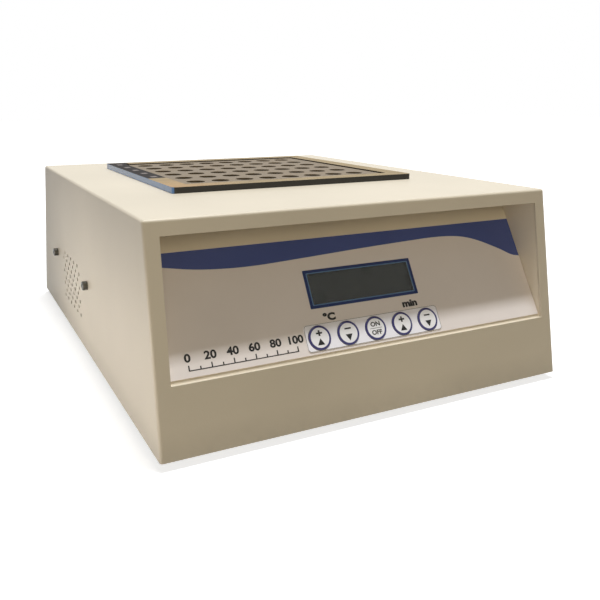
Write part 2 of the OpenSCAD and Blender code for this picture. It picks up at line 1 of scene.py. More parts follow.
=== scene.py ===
# %% [markdown]
# # A dry block heater
# This lesson dresses the solids of a bench-top dry block heater: a powder-coated case with a
# sloping membrane panel, and an aluminium block with wells for tubes. The solids come from CAD
# and stay as they are. We add finishes, the printing on the panel, light and a camera.
# Places are in the frame of the CAD model. Lengths are in metres, except on the panel and on
# the back, where the comments say millimetres.

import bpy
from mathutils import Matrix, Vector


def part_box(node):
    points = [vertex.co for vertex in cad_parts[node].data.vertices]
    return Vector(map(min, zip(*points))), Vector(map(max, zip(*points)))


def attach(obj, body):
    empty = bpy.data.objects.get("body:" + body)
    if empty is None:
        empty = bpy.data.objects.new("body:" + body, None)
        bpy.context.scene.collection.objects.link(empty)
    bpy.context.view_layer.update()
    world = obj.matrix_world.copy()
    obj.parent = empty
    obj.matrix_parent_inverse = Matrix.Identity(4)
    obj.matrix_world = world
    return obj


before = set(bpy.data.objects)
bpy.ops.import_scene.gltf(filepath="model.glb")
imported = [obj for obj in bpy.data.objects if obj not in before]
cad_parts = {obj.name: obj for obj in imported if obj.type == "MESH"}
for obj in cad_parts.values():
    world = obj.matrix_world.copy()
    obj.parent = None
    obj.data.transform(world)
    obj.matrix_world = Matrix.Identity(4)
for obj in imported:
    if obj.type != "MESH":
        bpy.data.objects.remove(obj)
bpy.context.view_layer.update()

# %% [markdown]
# Blender brings its own libraries. With numpy a shape is worked out as whole arrays, and with
# mathutils the camera and the lamps are turned.

# %% The libraries
import math

import bpy
import numpy as np
from mathutils import Matrix, Vector

print("Blender", bpy.app.version_string)

# %% [markdown]
# ## The camera and the bench
# The heater stands on a bench and is seen from its front left corner, a little above. We could
# aim the camera with a constraint, but a plain matrix says exactly where it looks. A small
# shift of the lens frames the object without turning the camera.

# %% The camera
EYE = Vector((-0.2492, -0.5570, 0.2040))
RIGHT = Vector((0.8930, -0.4501, -0.0001))
UP = Vector((0.0803, 0.1590, 0.9840))
FOCAL_LENGTH, SENSOR_WIDTH = 42.094, 36
SHIFT_ACROSS, SHIFT_UP = 0.025, -0.125
NEAREST = 0.01

camera_data = bpy.data.cameras.new("camera")
camera_data.lens = FOCAL_LENGTH
camera_data.sensor_width = SENSOR_WIDTH
camera_data.shift_x = SHIFT_ACROSS
camera_data.shift_y = SHIFT_UP
camera_data.clip_start = NEAREST
camera = bpy.data.objects.new("camera", camera_data)
bpy.context.scene.collection.objects.link(camera)
right = RIGHT.normalized()
up = (UP - right * UP.dot(right)).normalized()
turn = Matrix((right, up, right.cross(up))).transposed()
camera.matrix_world = Matrix.Translation(EYE) @ turn.to_4x4()
bpy.context.scene.camera = camera
bpy.context.scene.view_settings.view_transform = "Standard"
print("camera at", tuple(round(c, 3) for c in EYE), "lens", FOCAL_LENGTH)

# %% [markdown]
# A material is a small graph of nodes. A few helpers keep the graphs readable. The first adds
# any node and fills its sockets. Two add the nodes that we need most, for arithmetic and for
# turning one range of values into another. The last two start a material with its Principled
# shader, and a bare graph.

# %% Helpers for shader graphs
def add(tree, kind, settings=None, **sockets):
    """Adds a node. Settings are the node's own properties. Sockets are plain values or outputs
    to link; _0 is the first socket, and an underscore inside a name stands for a space."""
    node = tree.nodes.new(kind)
    for name, value in (settings or {}).items():
        setattr(node, name, value)
    for name, value in sockets.items():
        key = int(name[1:]) if name[0] == "_" else name.replace("_", " ")
        socket = node.inputs[key]
        if isinstance(value, bpy.types.NodeSocket):
            tree.links.new(value, socket)
        else:
            socket.default_value = value
    return node


def maths(tree, operation, *values):
    """One step of arithmetic on plain numbers or outputs."""
    sockets = {f"_{k}": value for k, value in enumerate(values)}
    return add(tree, "ShaderNodeMath", {"operation": operation}, **sockets).outputs[0]


def mapped(tree, value, low, high, to_low=0.0, to_high=1.0):
    """Turns low into to_low and high into to_high, and stays between them outside that range."""
    return add(tree, "ShaderNodeMapRange", Value=value, From_Min=low, From_Max=high,
               To_Min=to_low, To_Max=to_high).outputs[0]


def material(name, **sockets):
    """Starts a material with a Principled shader and sets plain values on its sockets."""
    made = bpy.data.materials.new(name)
    made.use_nodes = True
    shader = made.node_tree.nodes["Principled BSDF"]
    for key, value in sockets.items():
        shader.inputs[key.replace("_", " ")].default_value = value
    return made, made.node_tree, shader


def bare_graph(holder):
    """Starts the graph of a material or a world with no node in it."""
    holder.use_nodes = True
    holder.node_tree.nodes.clear()
    return holder.node_tree


print("helpers ready")

# %% [markdown]
# The bench is one large plane that only carries the shadow. Where the camera, a reflection or a
# pane of glass looks at it, most of its white comes from a glow, which grows with the distance
# from the heater, so the bench meets the white world behind it with no edge and still shows the
# shadow. Light that bounces off it sees a plain surface.

# %% The bench and the world
BENCH_HALF = 6.0
GLOW_NEAR, GLOW_FAR = 0.32, 1.0
GLOW_LEAST, GLOW_MOST = 0.735, 1.0
WHITE = (1, 1, 1, 1)


def flat_sheet(name, corners):
    """An object with a single face between four corners."""
    mesh = bpy.data.meshes.new(name)
    mesh.from_pydata(corners, [], [(0, 1, 2, 3)])
    sheet = bpy.data.objects.new(name, mesh)
    bpy.context.scene.collection.objects.link(sheet)
    return sheet


def seen_directly(tree):
    """1 for rays from the camera, a reflection or glass, and 0 for light that bounces."""
    path = add(tree, "ShaderNodeLightPath").outputs
    either = maths(tree, "MAXIMUM", path["Is Camera Ray"], path["Is Glossy Ray"])
    return maths(tree, "MAXIMUM", either, path["Is Transmission Ray"])


bench = flat_sheet("bench", [(-BENCH_HALF, -BENCH_HALF, 0), (BENCH_HALF, -BENCH_HALF, 0),
                             (BENCH_HALF, BENCH_HALF, 0), (-BENCH_HALF, BENCH_HALF, 0)])
bench_paint = bpy.data.materials.new("bench_paint")
tree = bare_graph(bench_paint)
bounce = add(tree, "ShaderNodeBsdfDiffuse", Color=(0.24, 0.214, 0.172, 1))
lit = add(tree, "ShaderNodeBsdfDiffuse", Color=(0.55, 0.55, 0.55, 1))
place = add(tree, "ShaderNodeTexCoord").outputs["Object"]
away = add(tree, "ShaderNodeVectorMath", {"operation": "LENGTH"}, _0=place).outputs["Value"]
strength = mapped(tree, away, GLOW_NEAR, GLOW_FAR, GLOW_LEAST, GLOW_MOST)
glow = add(tree, "ShaderNodeEmission", Color=WHITE, Strength=strength)
glowing = add(tree, "ShaderNodeAddShader", _0=lit.outputs[0], _1=glow.outputs[0])
mixed = add(tree, "ShaderNodeMixShader", _0=seen_directly(tree), _1=bounce.outputs[0],
            _2=glowing.outputs[0])
add(tree, "ShaderNodeOutputMaterial", Surface=mixed.outputs[0])
bench.data.materials.append(bench_paint)

world = bpy.data.worlds.new("studio")
bpy.context.scene.world = world
tree = bare_graph(world)
ambient = add(tree, "ShaderNodeBackground", Color=(1.0, 0.96, 0.905, 1), Strength=0.15)
backdrop = add(tree, "ShaderNodeBackground", Color=WHITE, Strength=1.0)
mixed = add(tree, "ShaderNodeMixShader", _0=seen_directly(tree), _1=ambient.outputs[0],
            _2=backdrop.outputs[0])
add(tree, "ShaderNodeOutputWorld", Surface=mixed.outputs[0])
print("bench", 2 * BENCH_HALF, "m wide")

# %% [markdown]
# ## Light
# A ceiling lamp almost straight above throws the shadow of the case's upper lip down the
# sloping panel, and leaves a bright band along the panel's foot. A low beam on the left models
# the side, a warm lamp far in front fills the shade of the recess, and a weak strip near the
# bench keeps the side's foot from going dull. We could use a sun, but lamps of a known size
# give shadow edges of a known softness. A dark curtain far in front shows only in reflections,
# so the display and the keys don't mirror the white room.

# %% The lamps
CURTAIN_HALF, CURTAIN_HIGH, CURTAIN_Y = 3.0, 3.0, -2.2


def soft_lamp(name, place, target, size, power, colour, spread=180.0):
    """An area lamp at place that faces target, in metres and watts. Spread is the angle of its
    beam in degrees. The camera doesn't see the lamp itself."""
    data = bpy.data.lights.new(name, "AREA")
    data.shape = "RECTANGLE"
    data.size, data.size_y = size
    data.energy = power
    data.color = colour
    data.spread = math.radians(spread)
    lamp = bpy.data.objects.new(name, data)
    lamp.location = place
    lamp.rotation_euler = (Vector(target) - Vector(place)).to_track_quat("-Z", "Y").to_euler()
    lamp.visible_camera = False
    bpy.context.scene.collection.objects.link(lamp)


curtain = flat_sheet("dark_curtain", [
    (-CURTAIN_HALF, CURTAIN_Y, 0.0), (CURTAIN_HALF, CURTAIN_Y, 0.0),
    (CURTAIN_HALF, CURTAIN_Y, CURTAIN_HIGH), (-CURTAIN_HALF, CURTAIN_Y, CURTAIN_HIGH)])
cloth = material("dark_cloth", Base_Color=(0.05, 0.05, 0.05, 1), Roughness=0.9)[0]
curtain.data.materials.append(cloth)
for ray in ("camera", "diffuse", "transmission", "shadow", "volume_scatter"):
    setattr(curtain, "visible_" + ray, False)

soft_lamp("ceiling_lamp", place=(0.13, -0.07, 1.9), target=(0.13, -0.07, 0.0), size=(0.56, 0.10),
          power=38.0, colour=(0.935, 0.975, 1.0))
soft_lamp("window_light", place=(-0.75, -0.12, 0.03), target=(-0.15, -0.12, 0.035),
          size=(0.42, 0.06), power=0.12, colour=(1.0, 0.97, 0.95), spread=28.0)
soft_lamp("front_fill", place=(-0.3, -2.0, 0.7), target=(0.0, -0.2, 0.08), size=(1.2, 0.8),
          power=8.3, colour=(1.0, 0.89, 0.64))
soft_lamp("low_strip", place=(-0.40, -0.08, 0.02), target=(0.0, -0.08, 0.06), size=(0.35, 0.03),
          power=0.06, colour=(1.0, 0.97, 0.93))

# %% [markdown]
# ## Finishes
# Each finish that several pieces share is a node group with named inputs, so a material only
# says its own colour, gloss and grain. Such a group reads Object coordinates and gives a colour,
# a roughness and a normal, so a few more helpers serve all the finishes.

# %% Helpers for finishes
def new_group(name, inputs, outputs):
    """Starts a node group. An input is (name, kind, default) and an output is (name, kind)."""
    tree = bpy.data.node_groups.new(name, "ShaderNodeTree")
    for label, kind, value in inputs:
        socket = tree.interface.new_socket(name=label, in_out="INPUT",
                                           socket_type="NodeSocket" + kind)
        socket.default_value = value
    for label, kind in outputs:
        tree.interface.new_socket(name=label, in_out="OUTPUT", socket_type="NodeSocket" + kind)
    ends = tree.nodes.new("NodeGroupInput"), tree.nodes.new("NodeGroupOutput")
    return tree, ends[0].outputs, ends[1].inputs


def use(tree, group, **sockets):
    """Places a node group in a material with its own values."""
    return add(tree, "ShaderNodeGroup", {"node_tree": group}, **sockets).outputs


def noise(tree, place, scale, detail, roughness=0.5):
    """A noise pattern, from 0 to 1. Scale is the number of its lumps in a metre."""
    return add(tree, "ShaderNodeTexNoise", Vector=place, Scale=scale, Detail=detail,
               Roughness=roughness).outputs["Fac"]


def squeezed(tree, place, factors):
    """The place, with each axis multiplied by a factor of its own."""
    return add(tree, "ShaderNodeVectorMath", {"operation": "MULTIPLY"}, _0=place,
               _1=factors).outputs[0]


def shaded(tree, colour, amount):
    """The colour, made darker or lighter by an amount near 1."""
    return add(tree, "ShaderNodeVectorMath", {"operation": "SCALE"}, _0=colour,
               Scale=amount).outputs[0]


def bumped(tree, height, depth):
    """The normal of a surface whose height follows a pattern. Depth is that of the pattern."""
    return add(tree, "ShaderNodeBump", Strength=1.0, Distance=depth, Height=height).outputs[0]


def connect(tree, ends, **sources):
    """Links outputs to the sockets with those names."""
    for label, source in sources.items():
        tree.links.new(source, ends[label.replace("_", " ")])


def cover(tree, shader, surface):
    """Gives the shader the colour, roughness and normal of a finish."""
    connect(tree, shader.inputs, Base_Color=surface["Colour"], Roughness=surface["Roughness"],
            Normal=surface["Normal"])


SURFACE = [("Colour", "Color"), ("Roughness", "Float"), ("Normal", "Vector")]
print("each finish gives", [name for name, kind in SURFACE])

# %% [markdown]
# Powder coat is the first finish: baked powder flows into low, even bumps about a millimetre
# wide, its colour drifts a little over a panel, and the foot of the case gathers scuffs. The
# bumps are far too low to model, so a noise pattern tilts the normal instead.

# %% Powder coat
SCUFF_FOOT, SCUFF_END, SCUFF_MOST = 0.005, 0.022, 0.24
PEEL_GLOSS = 0.12

powder_group, given, out = new_group("powder_coat", [
    ("Colour", "Color", (0.8, 0.8, 0.8, 1)), ("Bump size", "Float", 900.0),
    ("Bump depth", "Float", 0.00006), ("Gloss", "Float", 0.42)], SURFACE)
place = add(powder_group, "ShaderNodeTexCoord").outputs["Object"]
height = add(powder_group, "ShaderNodeSeparateXYZ", Vector=place).outputs["Z"]
drift = mapped(powder_group, noise(powder_group, place, scale=9.0, detail=3.0), 0.3, 0.7,
               to_low=0.95, to_high=1.03)
low_down = mapped(powder_group, height, SCUFF_FOOT, SCUFF_END, to_low=SCUFF_MOST, to_high=0.0)
scuff = maths(powder_group, "MULTIPLY",
              noise(powder_group, place, scale=60.0, detail=6.0, roughness=0.65), low_down)
shade = maths(powder_group, "SUBTRACT", drift, scuff)
peel = noise(powder_group, place, scale=given["Bump size"], detail=2.5, roughness=0.55)
connect(powder_group, out, Colour=shaded(powder_group, given["Colour"], shade),
        Roughness=maths(powder_group, "MULTIPLY_ADD", peel, PEEL_GLOSS, given["Gloss"]),
        Normal=bumped(powder_group, peel, given["Bump depth"]))


def powder_coat(name, colour, gloss):
    """Powder coat in one colour. Gloss is its lowest roughness."""
    made, tree, shader = material(name)
    cover(tree, shader, use(tree, powder_group, Colour=colour, Gloss=gloss))
    return made


case_coat = powder_coat("case_powder_coat", (0.620, 0.545, 0.430, 1), 0.42)
recess_coat = powder_coat("recess_powder_coat", (0.74, 0.655, 0.525, 1), 0.5)
print("powder coat on", case_coat.name, "and", recess_coat.name)

# %% [markdown]
# Machined and rolled metals show fine parallel lines. The lines are noise that is stretched
# along one axis: multiplying the other axis by a large factor makes streaks. The same group
# gives the milled top of the block, galvanised sheet and plated screws.

# %% Worked metal
METAL_CLOUD = 0.14

metal_group, given, out = new_group("worked_metal", [
    ("Colour", "Color", (0.7, 0.7, 0.7, 1)), ("Line stretch", "Vector", (12.0, 1500.0, 300.0)),
    ("Depth", "Float", 0.00002), ("Roughness", "Float", 0.35)], SURFACE)
place = add(metal_group, "ShaderNodeTexCoord").outputs["Object"]
lines = noise(metal_group, squeezed(metal_group, place, given["Line stretch"]),
              scale=1.0, detail=4.0, roughness=0.6)
cloud = noise(metal_group, place, scale=35.0, detail=4.0)
shade = maths(metal_group, "MULTIPLY",
              mapped(metal_group, lines, 0.25, 0.75, to_low=0.90, to_high=1.06),
              mapped(metal_group, cloud, 0.3, 0.7, to_low=0.92, to_high=1.04))
connect(metal_group, out, Colour=shaded(metal_group, given["Colour"], shade),
        Roughness=maths(metal_group, "MULTIPLY_ADD", cloud, METAL_CLOUD, given["Roughness"]),
        Normal=bumped(metal_group, lines, given["Depth"]))


def worked_metal(name, colour, roughness, stretch=(12.0, 1500.0, 300.0), depth=0.00002):
    """Bare metal with fine lines along the axis whose factor is smallest."""
    made, tree, shader = material(name, Metallic=1.0)
    cover(tree, shader, use(tree, metal_group, Colour=colour, Line_stretch=stretch, Depth=depth,
                            Roughness=roughness))
    return made


zinc_plate = worked_metal("zinc_plate", (0.66, 0.67, 0.69, 1), 0.26, (300.0, 300.0, 900.0), 0.00001)
zinc_sheet = worked_metal("galvanised_sheet", (0.58, 0.60, 0.62, 1), 0.34, (120.0, 160.0, 90.0),
                          0.00001)
pin_metal = worked_metal("pin_metal", (0.78, 0.70, 0.52, 1), 0.25, (400.0, 60.0, 400.0), 0.00001)
black_steel = worked_metal("blackened_steel", (0.115, 0.108, 0.095, 1), 0.30,
                           (400.0, 400.0, 400.0))
plate_metal = worked_metal("heater_plate_metal", (0.60, 0.59, 0.57, 1), 0.35)
print("worked metals:", zinc_plate.name, zinc_sheet.name, pin_metal.name, black_steel.name,
      plate_metal.name)

# %% [markdown]
# Moulded plastic has a faint spark-eroded texture from its mould, and its gloss drifts. Rubber,
# felt-like insulation, varnish, ink and solder resist are variants: only the size, depth and
# contrast of the grain change.

# %% Moulded and coated surfaces
GRAIN_GLOSS = 0.2

grain_group, given, out = new_group("fine_grain", [
    ("Colour", "Color", (0.1, 0.1, 0.1, 1)), ("Grain size", "Float", 1500.0),
    ("Depth", "Float", 0.00003), ("Contrast", "Float", 0.15), ("Roughness", "Float", 0.5)],
    SURFACE)
place = add(grain_group, "ShaderNodeTexCoord").outputs["Object"]
grain = noise(grain_group, place, scale=given["Grain size"], detail=3.0, roughness=0.6)
cloud = noise(grain_group, place, scale=40.0, detail=3.0)
centred = maths(grain_group, "SUBTRACT", maths(grain_group, "ADD", grain, cloud), 1.0)
shade = maths(grain_group, "MULTIPLY_ADD", centred, given["Contrast"], 1.0)
connect(grain_group, out, Colour=shaded(grain_group, given["Colour"], shade),
        Roughness=maths(grain_group, "MULTIPLY_ADD", centred, GRAIN_GLOSS, given["Roughness"]),
        Normal=bumped(grain_group, grain, given["Depth"]))


def grained(name, colour, roughness, size=1500.0, depth=0.00003, contrast=0.15, **sockets):
    """A plastic, rubber, fibre, ink or varnish with a fine grain."""
    made, tree, shader = material(name, **sockets)
    cover(tree, shader, use(tree, grain_group, Colour=colour, Grain_size=size, Depth=depth,
                            Contrast=contrast, Roughness=roughness))
    return made


black_plastic = grained("black_plastic", (0.016, 0.016, 0.018, 1), 0.42)
fan_plastic = grained("fan_plastic", (0.028, 0.028, 0.032, 1), 0.48)
rocker_plastic = grained("rocker_plastic", (0.014, 0.014, 0.015, 1), 0.25, depth=0.00001)
foot_rubber = grained("foot_rubber", (0.020, 0.020, 0.020, 1), 0.75, size=900.0,
                      depth=0.00006, contrast=0.3)
solder_resist = grained("solder_resist", (0.010, 0.11, 0.045, 1), 0.30, size=350.0,
                        depth=0.00002, contrast=0.3, Coat_Weight=0.4)
board_plastic = grained("board_part_plastic", (0.035, 0.05, 0.12, 1), 0.45)
iron_varnish = grained("varnished_iron", (0.10, 0.10, 0.11, 1), 0.40, size=1100.0,
                       depth=0.00005, contrast=0.3)
silicone = grained("silicone_rubber", (0.48, 0.085, 0.035, 1), 0.65, size=700.0,
                   depth=0.00005, contrast=0.2)
mineral_wool = grained("mineral_wool", (0.78, 0.74, 0.64, 1), 0.95, size=420.0,
                       depth=0.0006, contrast=0.5)
print("plastics and rubbers:",
      len([m for m in bpy.data.materials if m.name.endswith(("plastic", "rubber"))]))

# %% [markdown]
# Some pieces have more than one finish. A mask says where each one lies: it is a number that is
# 1 in one place and 0 elsewhere. We could cut the mesh into patches with a material each, but
# masks leave the solids alone and can have soft edges.

# %% Helpers for masks
def within(tree, value, centre, half, soft=0.0004):
    """1 where the value is within half of the centre, and 0 outside, with a soft edge."""
    off = maths(tree, "ABSOLUTE", maths(tree, "SUBTRACT", value, centre))
    return mapped(tree, off, half - soft, half + soft, to_low=1.0, to_high=0.0)


def between(tree, mask, none, full):
    """A number that is none where the mask is 0 and full where it is 1."""
    return mapped(tree, mask, 0.0, 1.0, none, full)


def times(tree, a, b):
    """Product of two masks."""
    return maths(tree, "MULTIPLY", a, b)


def blend(tree, mask, first, second):
    """The first colour where the mask is 0, and the second where it is 1."""
    return add(tree, "ShaderNodeMix", {"data_type": "RGBA"}, _0=mask, _6=first,
               _7=second).outputs[2]


def ramp(tree, value, low, low_colour, high, high_colour):
    """A colour that runs from one colour at low to another at high."""
    node = add(tree, "ShaderNodeValToRGB", Fac=value)
    first, last = node.color_ramp.elements
    first.position, first.color = low, low_colour
    last.position, last.color = high, high_colour
    return node.outputs[0]


print("mask helpers ready")

# %% [markdown]
# The frame round the block is cut from phenolic sheet, a dark board of pressed paper and resin.
# Its face is matt and tan. Its edges are nearly black and polished, and on the one on the left a
# blue reflection of a window is painted into the colour. A dark strip of painted shade lies along
# the left bar, with light marks half-way between the rows of wells, and the front left corner is
# scorched to a warmer tan. The strip could be a sheet of its own, but painted shade has no
# thickness, so masks draw it. Another mask tells the face from the edges by how far the surface
# points up.

# %% The phenolic frame
ROW_PITCH = 0.0275
FIRST_MARK = -0.0180
STRIP_X, STRIP_HALF_WIDTH = -0.0925, 0.0094
STRIP_Y, STRIP_HALF_LENGTH = 0.041, 0.070
MARK_X, MARK_HALF_WIDTH = -0.0935, 0.0024
MARK_HALF_SHARE, MARK_SOFT_SHARE = 0.13, 0.02  # of the pitch
SCORCH_CORE, SCORCH_END, SCORCH_MOST = 0.010, 0.060, 0.45
REFLECTION_DEPTH = 0.0012
EDGE_BELOW, FACE_ABOVE = 0.6, 0.9
EDGE_ROUGHNESS, FACE_ROUGHNESS, EDGE_COAT = 0.12, 0.62, 0.6
FIBRE_STRETCH, FIBRE_DEPTH, FIBRE_GLOSS = (60.0, 340.0, 340.0), 0.00002, 0.1
DARK_TAN, LIGHT_TAN = (0.235, 0.176, 0.105, 1), (0.40, 0.31, 0.185, 1)
WARM_TAN = (0.50, 0.30, 0.15, 1)
# The first colour is the painted shade of the strip on the left bar; the second is that of the
# light marks in it.
STRIP_SHADE, MARK_GREY = (0.010, 0.007, 0.006, 1), (0.21, 0.18, 0.17, 1)
EDGE_BLACK, EDGE_GREY = (0.012, 0.012, 0.012, 1), (0.038, 0.036, 0.034, 1)
# The blue of the left edge is a painted reflection of a window.
BLUE_REFLECTION = (0.13, 0.29, 0.66, 1)

frame_low, frame_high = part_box("block_frame")
sheet_coat, tree, shader = material("phenolic_sheet", IOR=1.5, Coat_Roughness=0.06,
                                    Specular_IOR_Level=0.12)
coordinates = add(tree, "ShaderNodeTexCoord").outputs
place = coordinates["Object"]
axes = add(tree, "ShaderNodeSeparateXYZ", Vector=place).outputs
upward = add(tree, "ShaderNodeSeparateXYZ", Vector=coordinates["Normal"]).outputs["Z"]
face = mapped(tree, upward, EDGE_BELOW, FACE_ABOVE)
fibre = noise(tree, squeezed(tree, place, FIBRE_STRETCH), scale=1.0, detail=5.0, roughness=0.6)
tan = ramp(tree, fibre, 0.3, DARK_TAN, 0.75, LIGHT_TAN)

to_corner = add(tree, "ShaderNodeVectorMath", {"operation": "DISTANCE"}, _0=place,
                _1=(frame_low.x, frame_low.y, frame_high.z)).outputs["Value"]
scorch = mapped(tree, to_corner, SCORCH_CORE, SCORCH_END, to_low=SCORCH_MOST, to_high=0.0)
scorched = blend(tree, scorch, tan, WARM_TAN)

from_first = maths(tree, "SUBTRACT", axes["Y"], FIRST_MARK - ROW_PITCH / 2)
part = maths(tree, "FRACT", maths(tree, "DIVIDE", from_first, ROW_PITCH))
mark = times(tree, within(tree, part, 0.5, MARK_HALF_SHARE, MARK_SOFT_SHARE),
             within(tree, axes["X"], MARK_X, MARK_HALF_WIDTH))
# Mask of the strip of painted shade along the left bar.
strip = times(tree, within(tree, axes["X"], STRIP_X, STRIP_HALF_WIDTH),
              within(tree, axes["Y"], STRIP_Y, STRIP_HALF_LENGTH))
face_colour = blend(tree, strip, scorched, blend(tree, mark, STRIP_SHADE, MARK_GREY))

# Mask of the left edge, where a blue reflection is painted into the colour.
reflecting_edge = within(tree, axes["X"], frame_low.x, REFLECTION_DEPTH)
edge = blend(tree, reflecting_edge, ramp(tree, fibre, 0.0, EDGE_BLACK, 1.0, EDGE_GREY), BLUE_REFLECTION)
rough = between(tree, face, EDGE_ROUGHNESS, FACE_ROUGHNESS)
connect(tree, shader.inputs, Base_Color=blend(tree, face, edge, face_colour),
        Roughness=maths(tree, "MULTIPLY_ADD", fibre, FIBRE_GLOSS, rough),
        Coat_Weight=between(tree, face, EDGE_COAT, 0.0), Normal=bumped(tree, fibre, FIBRE_DEPTH))
print("frame from", round(frame_low.x * 1000, 1), "to", round(frame_high.x * 1000, 1), "mm")

# %% [markdown]
# The block is aluminium, milled on top and drilled. Years of heat have browned it a little. Inside
# the wells the colour is painted nearly black: painted shade for the dark of the deep holes. The
# dark part starts just under the top face, which we find from the height of the block's own box. It
# stays a skin's thickness inside that box, so the block's outer sides keep their plain metal.

# %% The tube block
SKIN = 0.0015
DARK_STARTS, DARK_FULL = 0.0006, 0.0016
# The last colour is painted shade, nearly black, inside the wells.
BROWNED, SIDE_GREY, WELL_SHADE = (0.18, 0.128, 0.070, 1), (0.34, 0.30, 0.25, 1), (0.022, 0.018, 0.014, 1)
MILLED = (900.0, 14.0, 300.0)

block_low, block_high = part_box("tube_block")
middle, half = (block_low + block_high) / 2, (block_high - block_low) / 2
block_metal, tree, shader = material("block_aluminium")
worked = use(tree, metal_group, Colour=BROWNED, Line_stretch=MILLED, Depth=0.00003,
             Roughness=0.42)
place = add(tree, "ShaderNodeTexCoord").outputs["Object"]
axes = add(tree, "ShaderNodeSeparateXYZ", Vector=place).outputs
inside = times(tree, within(tree, axes["X"], middle.x, half.x - SKIN),
               within(tree, axes["Y"], middle.y, half.y - SKIN))
under_top = mapped(tree, axes["Z"], block_high.z - DARK_FULL, block_high.z - DARK_STARTS,
                   to_low=1.0, to_high=0.0)
# Mask of the wells, where the painted shade goes.
in_well = times(tree, inside, under_top)
outside = blend(tree, under_top, worked["Colour"], SIDE_GREY)
rougher = maths(tree, "ADD", worked["Roughness"], between(tree, in_well, 0.0, 0.3))
connect(tree, shader.inputs, Base_Color=blend(tree, in_well, outside, WELL_SHADE),
        Metallic=between(tree, in_well, 0.6, 0.2), Roughness=rougher, Normal=worked["Normal"])
print("block top at", round(block_high.z * 1000, 2), "mm")

# %% [markdown]
# ## The control panel
# The panel slopes back, so we work on it in its own two directions, in millimetres: x across,
# and s up the slope, with h for the height above its plate. One function turns these into
# places in space, and everything printed on the panel goes through it.

# %% Places on the panel
PANEL_LEAN = math.radians(29.5)
PANEL_FOOT_DEPTH, PANEL_FOOT_HEIGHT = 9.4, 42.0
CASE_DEPTH = 415.0
FOOT_HEIGHT = 5.0
ACROSS = np.array((1.0, 0.0, 0.0))
UP_SLOPE = np.array((0.0, math.sin(PANEL_LEAN), math.cos(PANEL_LEAN)))
OUT_OF_PANEL = np.array((0.0, -math.cos(PANEL_LEAN), math.sin(PANEL_LEAN)))
PANEL_ORIGIN = np.array((0.0, PANEL_FOOT_DEPTH - CASE_DEPTH / 2, PANEL_FOOT_HEIGHT + FOOT_HEIGHT))


def on_panel(x, s, h):
    """Turns millimetres across, up the slope and out of the panel into metres in space:
    the origin plus x times across, plus s times up the slope, plus h times outwards."""
    x, s, h = np.broadcast_arrays(x, s, h)
    return (PANEL_ORIGIN + x[..., None] * ACROSS + s[..., None] * UP_SLOPE
            + h[..., None] * OUT_OF_PANEL) / 1000


def mesh_piece(name, points, faces, coat, body):
    """Makes a mesh object that rides on a body and wears the finish it is given."""
    mesh = bpy.data.meshes.new(name)
    mesh.from_pydata(points.tolist(), [], [[int(corner) for corner in face] for face in faces])
    mesh.materials.append(coat)
    piece = bpy.data.objects.new(name, mesh)
    bpy.context.scene.collection.objects.link(piece)
    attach(piece, body)


def grid_piece(name, points, coat, body, closed=False):
    """Makes a mesh from an array of points with rows and columns. Quads join each point to its
    neighbours; closed joins the last column to the first."""
    rows, columns = points.shape[:2]
    index = np.arange(rows * columns).reshape(rows, columns)
    after = np.roll(index, -1, axis=1) if closed else index[:, 1:]
    here = index if closed else index[:, :-1]
    quads = np.stack((here[:-1], after[:-1], after[1:], here[1:]), axis=-1).reshape(-1, 4)
    mesh_piece(name, points.reshape(-1, 3), quads, coat, body)


print("panel leans back", round(math.degrees(PANEL_LEAN), 1), "degrees")

# %% [markdown]
# The overlay is polyester sheet, printed from behind and textured in front. Its ground is a
# pale warm grey. The film round the keys is a little whiter and smoother. Both share the
# grain group with the inks, and all of them have the finest grain.

# %% Sheets and inks of the panel
FILM_GRAIN = 2600.0
FILM_DEPTH = 0.00001


def film(name, colour, roughness, contrast=0.12):
    """A printed sheet or an ink on it."""
    return grained(name, colour, roughness, FILM_GRAIN, FILM_DEPTH, contrast)


overlay_sheet = film("overlay_sheet", (0.79, 0.72, 0.695, 1), 0.48, 0.06)
keypad_sheet = film("keypad_sheet", (0.92, 0.90, 0.97, 1), 0.36, 0.04)
blue_ink = film("blue_ink", (0.068, 0.098, 0.305, 1), 0.40)
border_ink = film("border_ink", (0.020, 0.038, 0.150, 1), 0.34)
black_ink = film("black_ink", (0.012, 0.012, 0.013, 1), 0.45)
line_ink = film("line_ink", (0.30, 0.28, 0.25, 1), 0.5)
print("inks:", blue_ink.name, border_ink.name, black_ink.name, line_ink.name)

# %% [markdown]
# A blue band sweeps along the top of the overlay. Its upper edge is straight; its lower edge is
# a lazy wave that makes the band deepest near the left, lets it narrow towards the right, and
# then sweeps down to the corner. A few points on the edge and a smooth curve through them say
# all of that. A chain of cubic Bezier spans draws it well: each span is a weighted sum of four
# points, and neighbouring spans share a direction where they meet.

# %% The blue band
PRINT_HEIGHT = 0.65
BAND_TOP = 75.8
BAND_EDGE = [(-139.9, 68.6), (-132, 66.8), (-109, 63.2), (-79, 61.8), (-41, 63.2), (0, 65.2),
             (45, 67.0), (69, 67.5), (88, 66.3), (104, 62.1), (122, 53.8), (132.5, 47.9),
             (139.8, 46.1)]
BAND_STEPS = 10


def smooth_curve(points, steps):
    """A curve through all the points. The span from a to d is a cubic Bezier curve, the sum
    (1-t)^3 a + 3 t (1-t)^2 b + 3 t^2 (1-t) c + t^3 d. Its inner points b and c make it leave a
    point in the direction of the line between that point's neighbours."""
    p = np.array(points, float)
    slope = np.gradient(p, axis=0)
    a, d = p[:-1, None], p[1:, None]
    b, c = a + slope[:-1, None] / 3, d - slope[1:, None] / 3
    t = np.linspace(0, 1, steps)[:, None]
    spans = (1 - t) ** 3 * a + 3 * t * (1 - t) ** 2 * b + 3 * t ** 2 * (1 - t) * c + t ** 3 * d
    return np.concatenate((spans[0], spans[1:, 1:].reshape(-1, 2)))


